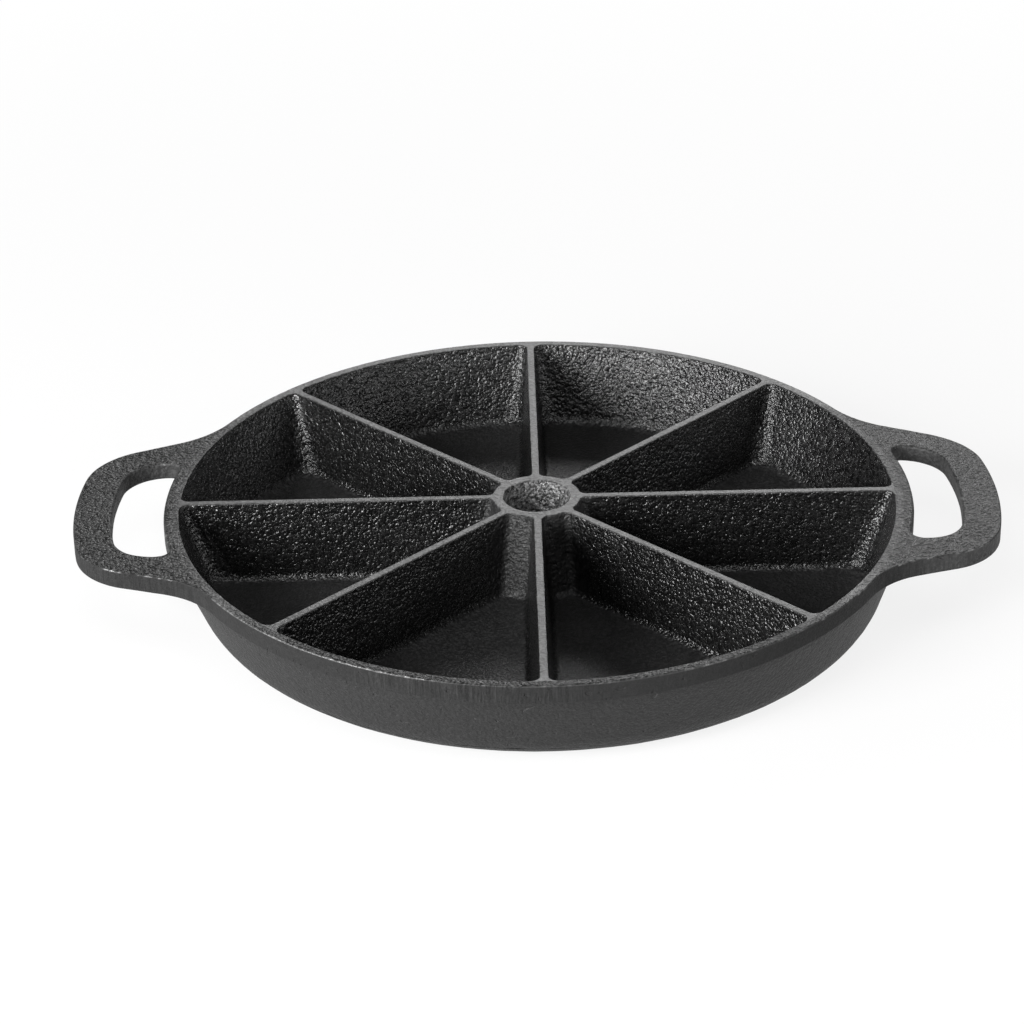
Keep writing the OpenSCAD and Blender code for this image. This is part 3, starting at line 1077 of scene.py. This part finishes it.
@dataclass
class Handle(Feature):
    """Flat loop handle flush with the rim: a bar of rounded section carried round the gap."""

    slot = Slot.HANDLE

    pan: Casting
    hand: Hand
    gap_land: float  # metal between the rim and the gap
    droop: float  # how far the tip hangs below the rim
    turn: float  # degrees that it stands off the pan's axis
    side: Finish = BAND  # finish of its upright outside, away from the rim
    tip_arc_r: float = 123.0
    grip_w: float = 11.6
    root_w: float = 87.5
    taper: float = 21.0
    corner_r: float = 23.5
    root_r: float = 30.0
    gap_w: float = 59.5
    gap_corner_r: float = 13.0
    gap_root_r: float = 3.5
    gap_edge_r: float = 1.0
    gap_spare: float = 0.1  # how far the tip corner's radius stays below what the gap has room for
    buried_r: float = 0.1  # rounding of the edge that lies inside the band
    burr_and_highlight: BurrAndHighlightLine = BurrAndHighlightLine(size=1.5)
    worn_and_lit: float = 0.4  # how much of the front edge is bright with burr and painted highlight
    front: Span = (0.2, 0.5)  # forward part of a normal over which the front edge begins
    worn_and_lit_fade: float = 5.0  # distance from the rim at which it is full
    relief_fade: float = 4.0  # distance from the rim at which the relief is full
    side_fade: Span = (1.0, 16.0)  # distances from the rim over which the side's finish begins
    face_up: Span = (0.3, 0.9)  # upward part of a normal over which the side ends
    columns: tuple[int, ...] = (44, 84, 6, 50, 40)  # in the five matched stretches of loops()
    face_rows: int = 22
    under_rows: int = 14
    edge_rows: int = 8
    round_steps: int = 3

    @property
    def node(self) -> str:
        """Name of the handle's node."""
        return f"handle_{self.hand.name.lower()}"

    @property
    def tip_centre(self) -> Array:
        """Centre of the tip's arc."""
        return np.array([self.pan.tip_r - self.tip_arc_r, 0.0])

    def outer(self) -> Outline:
        """Upper half of the outside: rim circle, root hollow, straight side, corner, tip.

        Returns:
            The outline, from the X axis to the X axis.
        """
        pan = self.pan
        lean = np.radians(self.taper)
        reach = pan.rim_r * np.sin(lean) + self.root_w / 2 * np.cos(lean)
        square, hub = 90 - self.taper, self.tip_centre
        root_d, corner_d = pan.rim_r + self.root_r, self.tip_arc_r - self.corner_r
        root_a = square - np.degrees(np.arccos((reach + self.root_r) / root_d))
        left = reach - self.corner_r - hub @ polar(1, square)
        corner_a = square - np.degrees(np.arccos(left / corner_d))
        return (
            Outline()
            .arc(np.zeros(2), pan.rim_r, 0, root_a, -1)
            .arc(polar(root_d, root_a), self.root_r, 180 + root_a, 180 + square, -1)
            .arc(hub + polar(corner_d, corner_a), self.corner_r, square, corner_a, 1)
            .arc(hub, self.tip_arc_r, corner_a, 0, 1)
        )

    def inner(self) -> Outline:
        """Upper half of the finger gap: rim side, root corner, tip corner, grip side.

        The tip corner is no rounder than lets the gap's straight side end at the root corner.

        Returns:
            The outline, from the X axis to the X axis.
        """
        gap_r, grip_r = self.pan.rim_r + self.gap_land, self.tip_arc_r - self.grip_w
        side_y, root_d, hub = self.gap_w / 2, gap_r + self.gap_root_r, self.tip_centre
        root_a = np.degrees(np.arcsin((side_y - self.gap_root_r) / root_d))
        root = polar(root_d, root_a)
        room = grip_r**2 - side_y**2 - (root[0] - hub[0]) ** 2
        corner_r = min(self.gap_corner_r, room / 2 / (grip_r - side_y) - self.gap_spare)
        corner_d = grip_r - corner_r
        corner_a = np.degrees(np.arcsin((side_y - corner_r) / corner_d))
        return (
            Outline()
            .arc(np.zeros(2), gap_r, 0, root_a, 1)
            .arc(root, self.gap_root_r, 180 + root_a, 90, -1)
            .arc(hub + polar(corner_d, corner_a), corner_r, 90, corner_a, -1)
            .arc(hub, grip_r, corner_a, 0, -1)
        )

    def loops(self) -> tuple[Array, Array, Array, Array, Array]:
        """Matched places round the whole loop on the gap's edge and on the outside.

        The gap's rim side is matched to the rim, its root corner to the rest of the rim and the
        root hollow, its sides and tip corner to the straight side and outer corner, and its grip
        side to the tip. The lower half is the upper one mirrored and walked back.

        Returns:
            Gap points and normals, outer points and normals, and which outer points are on the
            rim circle.
        """
        outer, inner = self.outer(), self.inner()
        mark, hole = outer.marks(), inner.marks()
        rim_end = hole[1] * self.pan.rim_r / (self.pan.rim_r + self.gap_land)
        side = np.linalg.norm(inner.points[2][0] - inner.points[1][-1])
        inner_cuts = [0, hole[1], hole[2], hole[2] + side, hole[3], hole[4]]
        outer_cuts = [0, rim_end, mark[2], mark[2] + side, mark[3], mark[4]]
        half = []
        for path, cuts in ((inner, inner_cuts), (outer, outer_cuts)):
            legs = [path.sample(a, b, n) for a, b, n in zip(cuts, cuts[1:], self.columns)]
            legs.append(path.sample(cuts[-1], cuts[-1] + 1, 1))
            half.append([np.concatenate(v) for v in zip(*legs)])
        (g, gn), (o, on) = half
        on_rim = (o * on).sum(axis=1) < 0
        flip = np.array([1.0, -1.0])
        both = [np.concatenate([v, v[-2:0:-1] * flip]) for v in (g, gn, o, on)]
        return *both, np.concatenate([on_rim, on_rim[-2:0:-1]])

    def section(self) -> Patch:
        """Rounded section carried round the loop.

        At each place the section runs over the top from the gap's edge to the outside, down,
        back underneath and up again. A flat stretch is an even mix of its two ends. An edge is
        a quarter arc: at an angle p from upright it lies r(1 - sin p) in and r(1 - cos p) down.
        On the rim circle the top runs on to where the band's land starts.

        Returns:
            Patch whose rows go round the section and whose columns go round the loop.
        """
        pan = self.pan
        g, gn, o, on, on_rim = self.loops()
        buried = on_rim[:, None]
        o_r = np.where(buried, self.buried_r, pan.edge_r)
        o = o + on * np.where(buried, pan.edge_r + self.buried_r, 0)
        g_r = np.full_like(o_r, self.gap_edge_r)
        quarter = np.radians(np.linspace(0, 90, self.round_steps + 1))
        gap, outside = (g, gn, g_r), (o, on, o_r)
        blocks: list[Walk] = []

        def edge(path: Trace, z: float, way: int, turn: Array, flat: Finish, side: Finish) -> None:
            """Adds a quarter round between a flat and an upright face, their finishes mixed."""
            xy, n, r = path
            s, c = np.sin(turn)[:, None, None], np.cos(turn)[:, None, None]
            height = z - way * r * (1 - c)
            points = np.concatenate([xy - n * r * (1 - s), height], axis=-1)
            lean = np.concatenate([n * s, np.broadcast_to(way * c, height.shape)], axis=-1)
            share = np.broadcast_to(s, height.shape)[..., 0]
            blocks.append((points, lean, blend(flat.channels(), side.channels(), share)))

        def span(count: int, made: Finish) -> None:
            """Marks a place for a stretch of rows between the blocks on its two sides."""
            blocks.append((np.zeros(count), np.zeros(0), made.channels()))

        edge(gap, pan.height, 1, quarter[::-1], HANDLE_FACE, GAP_EDGE)
        span(self.face_rows, HANDLE_FACE)
        edge(outside, pan.height, 1, quarter, HANDLE_FACE, BAND)
        span(self.edge_rows, BAND)
        edge(outside, pan.grip_z, -1, quarter[::-1], UNDERSIDE, BAND)
        span(self.under_rows, UNDERSIDE)
        edge(gap, pan.grip_z, -1, quarter, UNDERSIDE, GAP_EDGE)
        span(self.edge_rows, GAP_EDGE)
        for k, (points, normals, finish) in enumerate(blocks):
            if points.ndim > 1:
                continue
            before, after = blocks[k - 1], blocks[(k + 1) % len(blocks)]
            w = np.linspace(0, 1, len(points) + 2)[1:-1, None, None]
            rows = before[0][-1] * (1 - w) + after[0][0] * w
            facing = np.broadcast_to(before[1][-1], rows.shape)
            made = np.broadcast_to(finish, rows.shape[:2] + (len(Channel),))
            blocks[k] = (rows, facing, made)
        return Patch(*(np.concatenate(v) for v in zip(*blocks)))

    def settled(self, patch: Patch) -> Patch:
        """Lets the handle hang: z falls by droop x (3t^2 - 2t^3), t from the rim to the tip.

        A normal leans outwards by its upward part times the slope of that fall. The relief
        fades out towards the rim, so that the face meets the ground land flat. The upright
        outside takes its own finish, and its front edge has burr with a painted highlight.

        Args:
            patch: Patch of the level handle.

        Returns:
            The patch on its own side of the pan.
        """
        r = np.hypot(patch.points[..., 0], patch.points[..., 1])
        off, reach = r - self.pan.rim_r, self.pan.tip_r - self.pan.rim_r
        t = np.clip(off / reach, 0, 1)
        slope = self.droop * 6 * t * (1 - t) / reach
        points, normals, finish = patch.points.copy(), patch.normals.copy(), patch.finish.copy()
        points[..., 2] -= self.droop * t * t * (3 - 2 * t)
        normals[..., :2] += (normals[..., 2] * slope / r)[..., None] * points[..., :2]
        normals /= np.linalg.norm(normals, axis=-1, keepdims=True)
        finish[..., Channel.RELIEF] *= smooth(off, 0, self.relief_fade)
        outwards = (points[..., :2] * normals[..., :2]).sum(axis=-1) > 0
        upright = (1 - smooth(np.abs(normals[..., 2]), *self.face_up)) * outwards
        finish = blend(finish, self.side.channels(), upright * smooth(off, *self.side_fade))
        # Burr with a painted highlight along the forward-facing front edge.
        front = smooth(-normals[..., 1], *self.front) * smooth(off, 0, self.worn_and_lit_fade) * outwards
        side = np.array([self.hand.value, 1, 1])
        way = np.array(Matrix.Rotation(np.radians(self.turn), 3, "Z")).T
        made = Patch(points * side @ way, normals * side @ way, finish)
        return self.burr_and_highlight.on(made, self.worn_and_lit * front)

    def shell(self) -> Shell:
        """Returns the handle's closed skin."""
        patch = self.settled(self.section())
        quads = grid_quads(*patch.points.shape[:2], wrap_rows=True, wrap_cols=True)
        if self.hand is Hand.LEFT:
            quads = quads[:, ::-1]
        return patch.roughened(), quads, NO_TRIANGLES


class NodeSheet:
    """One material's or world's node tree, with short calls."""

    def __init__(self, tree: bpy.types.NodeTree) -> None:
        """Empties the tree."""
        self.tree = tree
        tree.nodes.clear()

    def add(self, kind: str, inputs: dict, **settings: object) -> bpy.types.Node:
        """Adds a node.

        Args:
            kind: Type of the node, without its ShaderNode prefix.
            inputs: Socket name or number to a value, or to a socket that feeds it.
            settings: Attributes of the node.

        Returns:
            The node.
        """
        node = self.tree.nodes.new("ShaderNode" + kind)
        for key, value in settings.items():
            setattr(node, key, value)
        for key, value in inputs.items():
            if isinstance(value, Socket):
                self.tree.links.new(value, node.inputs[key])
            else:
                node.inputs[key].default_value = value
        return node

    def math(self, operation: str, *values: object) -> Socket:
        """Returns the result of Math nodes carried over values or sockets in turn."""

        def step(a: object, b: object) -> Socket:
            """Returns the result of one node on two of them."""
            return self.add("Math", {0: a, 1: b}, operation=operation).outputs[0]

        return reduce(step, values)

    def channel(self, channel: Channel) -> Socket:
        """Returns a finish channel of the surface."""
        name = channel.name.lower()
        return self.add("Attribute", {}, attribute_name=name).outputs["Fac"]

    def noise(self, place: Socket, size: float, detail: float, rough: float = 0.5) -> Socket:
        """Returns noise from 0 to 1 whose cells are size millimetres wide."""
        inputs = {"Vector": place, "Scale": 1 / (size * MM), "Detail": detail, "Roughness": rough}
        return self.add("TexNoise", inputs).outputs["Fac"]

    def ranged(self, value: object, span: Span, to: Pair) -> Socket:
        """Returns a value carried from one range to another, held at its ends."""
        inputs = dict(enumerate((value, *span, *to)))
        return self.add("MapRange", inputs).outputs[0]

    def shader(self, kind: str, inputs: dict) -> Socket:
        """Returns the output of a shader node."""
        return self.add(kind, inputs).outputs[0]


@dataclass(frozen=True)
class Iron:
    """Black iron of one material slot. Its tone, gloss and grain follow the finish channels."""

    slot: Slot
    gloss: float = 0.55  # specular level of the skin
    grain_size: float = 0.82
    grain_depth: float = 0.6
    pebble_size: float = 1.45
    pebble_blur: float = 0.6
    pebble_share: float = 0.5  # how much the pebbles take off the grain
    filing_size: float = 0.65
    filing_stretch: float = 0.08
    filing_depth: float = 0.25
    pit_size: float = 2.4
    pit_depth: float = 0.8
    pit_noise: Span = (0.74, 0.80)
    pit_matt: Span = (0.45, 0.6)  # gloss roughness over which pits begin
    cloud_size: float = 14.0
    cloud_tones: Pair = (0.82, 1.18)
    speck_size: float = 0.45
    speck_tones: Pair = (0.75, 1.25)
    speck_shine: Pair = (0.85, 1.15)
    uneven_noise: Span = (0.3, 0.7)  # noise over which clouds and specks take their tones
    shading_heights: Span = (0.14, 0.46)  # grain heights over which painted shade turns to painted light
    # tones of the painted shade in hollows and the painted light on tops
    shading_tones: Pair = (-0.8, 0.9)
    streak_noise: Span = (0.35, 0.65)
    streak_tones: Pair = (-0.6, 1.0)
    glint_size: float = 0.45
    glint: float = 0.28  # painted highlights: tone of the small bright points where the grain is glossy
    glint_noise: Span = (0.69, 0.77)
    glint_matt: Span = (0.24, 0.32)  # gloss roughness over which they end

    def carved(self, sheet: NodeSheet, place: Socket) -> tuple[Socket, Socket, Socket]:
        """Height of the fine surface: sand less pebbles, and filing marks less pits.

        Args:
            sheet: The material's nodes.
            place: Place on the object.

        Returns:
            The height, the grain before its strength, and the noise of the filing marks.
        """
        pebbles = sheet.add(
            "TexVoronoi",
            {"Vector": place, "Scale": 1 / (self.pebble_size * MM), "Smoothness": self.pebble_blur},
            feature="SMOOTH_F1",
        ).outputs["Distance"]
        sand = sheet.noise(place, self.grain_size, detail=1.5)
        grain = sheet.math("SUBTRACT", sand, sheet.math("MULTIPLY", pebbles, self.pebble_share))
        upright = {0: place, 1: (1, 1, self.filing_stretch)}
        stretched = sheet.add("VectorMath", upright, operation="MULTIPLY").outputs[0]
        marks = sheet.noise(stretched, self.filing_size, detail=3, rough=0.7)
        share = self.filing_depth / self.grain_depth
        cuts = sheet.math("MULTIPLY", sheet.channel(Channel.FILED), share, marks)
        pits = sheet.noise(place, self.pit_size, detail=0)
        pits = sheet.ranged(pits, self.pit_noise, (0, self.pit_depth))
        matt = sheet.ranged(sheet.channel(Channel.MATT), self.pit_matt, (0, 1))
        skin = sheet.math("MULTIPLY", grain, sheet.channel(Channel.GRAIN))
        height = sheet.math("ADD", skin, cuts)
        height = sheet.math("SUBTRACT", height, sheet.math("MULTIPLY", pits, matt))
        return height, grain, marks

    def tone(self, sheet: NodeSheet, place: Socket, factors: list[Socket]) -> Socket:
        """Grey of the iron: the finish's tone times the factors, plus glints painted in as
        highlights.

        Args:
            sheet: The material's nodes.
            place: Place on the object.
            factors: What makes the tone uneven, painted shade and light on the grain among them.

        Returns:
            The grey.
        """
        cloud = sheet.noise(place, self.cloud_size, detail=4)
        cloud = sheet.ranged(cloud, self.uneven_noise, self.cloud_tones)
        tone = sheet.math("MULTIPLY", sheet.channel(Channel.TONE), cloud, *factors)
        # Painted highlights: small bright points added to the grey where the grain is glossy.
        glints = sheet.noise(place, self.glint_size, detail=1)
        glints = sheet.ranged(glints, self.glint_noise, (0, self.glint))
        glossy = sheet.ranged(sheet.channel(Channel.MATT), self.glint_matt, (1, 0))
        glints = sheet.math("MULTIPLY", sheet.channel(Channel.GRAIN), glossy, glints)
        return sheet.math("ADD", tone, glints)

    def material(self) -> Material:
        """Builds the material.

        Returns:
            The material, named for its slot.
        """
        made = bpy.data.materials.new(self.slot.value)
        made.use_nodes = True
        sheet = NodeSheet(made.node_tree)
        place = sheet.add("TexCoord", {}).outputs["Object"]
        height, grain, marks = self.carved(sheet, place)
        speck = sheet.noise(place, self.speck_size, detail=2)
        speck = sheet.ranged(speck, self.uneven_noise, self.speck_tones)
        # Painted shade in the grain's hollows and painted light on its tops.
        grain_shading = sheet.ranged(grain, self.shading_heights, self.shading_tones)
        strength = sheet.math("MINIMUM", sheet.channel(Channel.GRAIN), 1.0)
        streaks = sheet.ranged(marks, self.streak_noise, self.streak_tones)
        uneven = [
            sheet.math("ADD", sheet.math("MULTIPLY", value, share), 1.0)
            for value, share in ((grain_shading, strength), (streaks, sheet.channel(Channel.FILED)))
        ]
        tone = self.tone(sheet, place, [speck, *uneven])
        shine = sheet.ranged(speck, self.speck_tones, self.speck_shine)
        bump = {"Height": height, "Distance": self.grain_depth * MM}
        looks = {
            "Base Color": sheet.shader("CombineColor", dict.fromkeys(range(3), tone)),
            "Roughness": sheet.math("MULTIPLY", sheet.channel(Channel.MATT), shine),
            "Normal": sheet.shader("Bump", bump),
            "Specular IOR Level": self.gloss,
        }
        sheet.add("OutputMaterial", {"Surface": sheet.shader("BsdfPrincipled", looks)})
        return made


@dataclass(frozen=True)
class SoftBox:
    """Rectangular studio lamp aimed at the pan."""

    name: str
    azimuth: float  # direction that it stands in, from +X towards +Y
    elevation: float
    distance: float  # metres
    size: Pair  # metres
    radiance: float

    def build(self) -> None:
        """Places the lamp. Its power is radiance x pi x area."""
        lamp = bpy.data.lights.new(self.name, "AREA")
        lamp.shape = "RECTANGLE"
        lamp.size, lamp.size_y = self.size
        lamp.energy = self.radiance * np.pi * self.size[0] * self.size[1]
        a, e = np.radians(self.azimuth), np.radians(self.elevation)
        way = Vector((np.cos(a) * np.cos(e), np.sin(a) * np.cos(e), np.sin(e)))
        placed = bpy.data.objects.new(self.name, lamp)
        placed.location = way * self.distance
        placed.rotation_euler = way.to_track_quat("Z", "Y").to_euler()
        bpy.context.scene.collection.objects.link(placed)


@dataclass(frozen=True)
class Studio:
    """Surroundings that are dim but look white, pale floor, soft lamps and the camera."""

    daylight: float = 0.06  # strength of the surroundings
    horizon: Span = (0.0, 0.1)  # sines of the heights over which the mirrored white ends
    floor_tone: float = 0.86
    floor_glow: Pair = (0.84, 1.0)  # share of plain white near the pan and far off
    glow_span: Span = (0.2, 0.6)  # metres from the pan
    floor_r: float = 30.0  # metres
    floor_sides: int = 64
    sensor: float = 36.0
    lens: float = 109.26
    clip: Pair = (0.05, 100.0)  # metres
    target: tuple[float, float, float] = (-7.61, -10.22, 30.48)
    distance: float = 938.32
    azimuth: float = -0.196
    elevation: float = 28.059
    roll: float = -1.127
    lamps: tuple[SoftBox, ...] = (
        SoftBox("left_box", 224, 22, distance=1.2, size=(0.6, 0.6), radiance=26.0),
        SoftBox("overhead_box", 264, 60, distance=1.2, size=(0.8, 0.5), radiance=3.0),
        SoftBox("fill_box", 340, 20, distance=1.2, size=(0.5, 0.4), radiance=6.0),
        SoftBox("back_box", 76, 28, distance=1.3, size=(1.0, 0.35), radiance=5.0),
    )

    def build(self) -> None:
        """Sets up everything round the pan."""
        self.surroundings()
        self.floor()
        self.camera()
        for lamp in self.lamps:
            lamp.build()

    def surroundings(self) -> None:
        """Lights the pan dimly from all sides.

        The camera sees white all round. Mirrored and passing rays see it near the horizon.
        """
        world = bpy.data.worlds.new("surroundings")
        bpy.context.scene.world = world
        world.use_nodes = True
        sheet = NodeSheet(world.node_tree)
        way = sheet.add("TexCoord", {}).outputs["Generated"]
        rise = sheet.add("SeparateXYZ", {0: way}).outputs[2]
        low = sheet.ranged(rise, self.horizon, (1, 0))
        camera = sheet.add("LightPath", {}).outputs["Is Camera Ray"]
        white = sheet.math("MAXIMUM", camera, sheet.math("MULTIPLY", low, self.seen(sheet)))
        light = sheet.ranged(white, (0, 1), (self.daylight, 1))
        sky = sheet.shader("Background", {"Color": (1, 1, 1, 1), "Strength": light})
        sheet.add("OutputWorld", {"Surface": sky})

    @staticmethod
    def seen(sheet: NodeSheet) -> Socket:
        """Returns 1 where the camera looks, straight or by a mirrored or passing ray."""
        path = sheet.add("LightPath", {}).outputs
        rays = (path[f"Is {kind} Ray"] for kind in ("Camera", "Glossy", "Transmission"))
        return sheet.math("MAXIMUM", *rays)

    def floor(self) -> None:
        """Lays a pale disc under the pan, clear when it is looked at from below."""
        ring = np.linspace(0, 2 * np.pi, self.floor_sides, endpoint=False)
        points = np.stack([np.cos(ring), np.sin(ring), 0 * ring], axis=-1) * self.floor_r
        mesh = bpy.data.meshes.new("floor")
        mesh.from_pydata(points.tolist(), [], [list(range(len(ring)))])
        made = bpy.data.materials.new("pale_floor")
        made.use_nodes = True
        sheet = NodeSheet(made.node_tree)
        paint = sheet.shader("BsdfDiffuse", {"Color": (self.floor_tone,) * 3 + (1,)})
        white = sheet.shader("Emission", {"Color": (1, 1, 1, 1), "Strength": 1.0})
        clear = sheet.shader("BsdfTransparent", {})
        place = sheet.add("TexCoord", {}).outputs["Object"]
        away = sheet.add("VectorMath", {0: place}, operation="LENGTH").outputs["Value"]
        glow = sheet.ranged(away, self.glow_span, self.floor_glow)
        glow = sheet.math("MULTIPLY", self.seen(sheet), glow)
        shown = sheet.shader("MixShader", {0: glow, 1: paint, 2: white})
        behind = sheet.add("NewGeometry", {}).outputs["Backfacing"]
        mixed = sheet.shader("MixShader", {0: behind, 1: shown, 2: clear})
        sheet.add("OutputMaterial", {"Surface": mixed})
        mesh.materials.append(made)
        floor = bpy.data.objects.new("floor", mesh)
        bpy.context.scene.collection.objects.link(floor)

    def camera(self) -> None:
        """Points the camera from its azimuth, elevation and roll about the target."""
        a, e, roll = np.radians([self.azimuth, self.elevation, self.roll])
        back = Vector((np.sin(a) * np.cos(e), -np.cos(a) * np.cos(e), np.sin(e)))
        right = (-back).cross(Vector((0, 0, 1))).normalized()
        up = right.cross(-back)
        across = right * np.cos(roll) + up * np.sin(roll)
        above = up * np.cos(roll) - right * np.sin(roll)
        lens = bpy.data.cameras.new("camera")
        lens.lens, lens.sensor_width = self.lens, self.sensor
        lens.clip_start, lens.clip_end = self.clip
        camera = bpy.data.objects.new("camera", lens)
        turn = Matrix((across, above, back)).transposed().to_4x4()
        place = (Vector(self.target) + back * self.distance) * MM
        camera.matrix_world = Matrix.Translation(place) @ turn
        bpy.context.scene.collection.objects.link(camera)
        bpy.context.scene.camera = camera


def main() -> None:
    """Builds the pan from its floor up, then its surroundings."""
    logging.basicConfig(level=logging.INFO, format="%(name)s %(message)s")
    scene = bpy.context.scene
    scene.view_settings.view_transform = "Standard"
    pan = Casting.measured()
    iron = {slot: Iron(slot).material() for slot in Slot}
    features = [
        BasePlate(pan),
        SideWall(pan),
        RimBand(pan),
        CentreCup(pan),
        *(Divider(pan, number) for number in range(1, Divider.count + 1)),
        Handle(pan, Hand.LEFT, gap_land=1.6, droop=0.3, turn=1.4),
        Handle(pan, Hand.RIGHT, gap_land=2.6, droop=1.0, turn=-0.5, side=GRIP_SIDE),
    ]
    for feature in features:
        feature.build(iron)
    Studio().build()


if __name__ == "__main__":
    main()
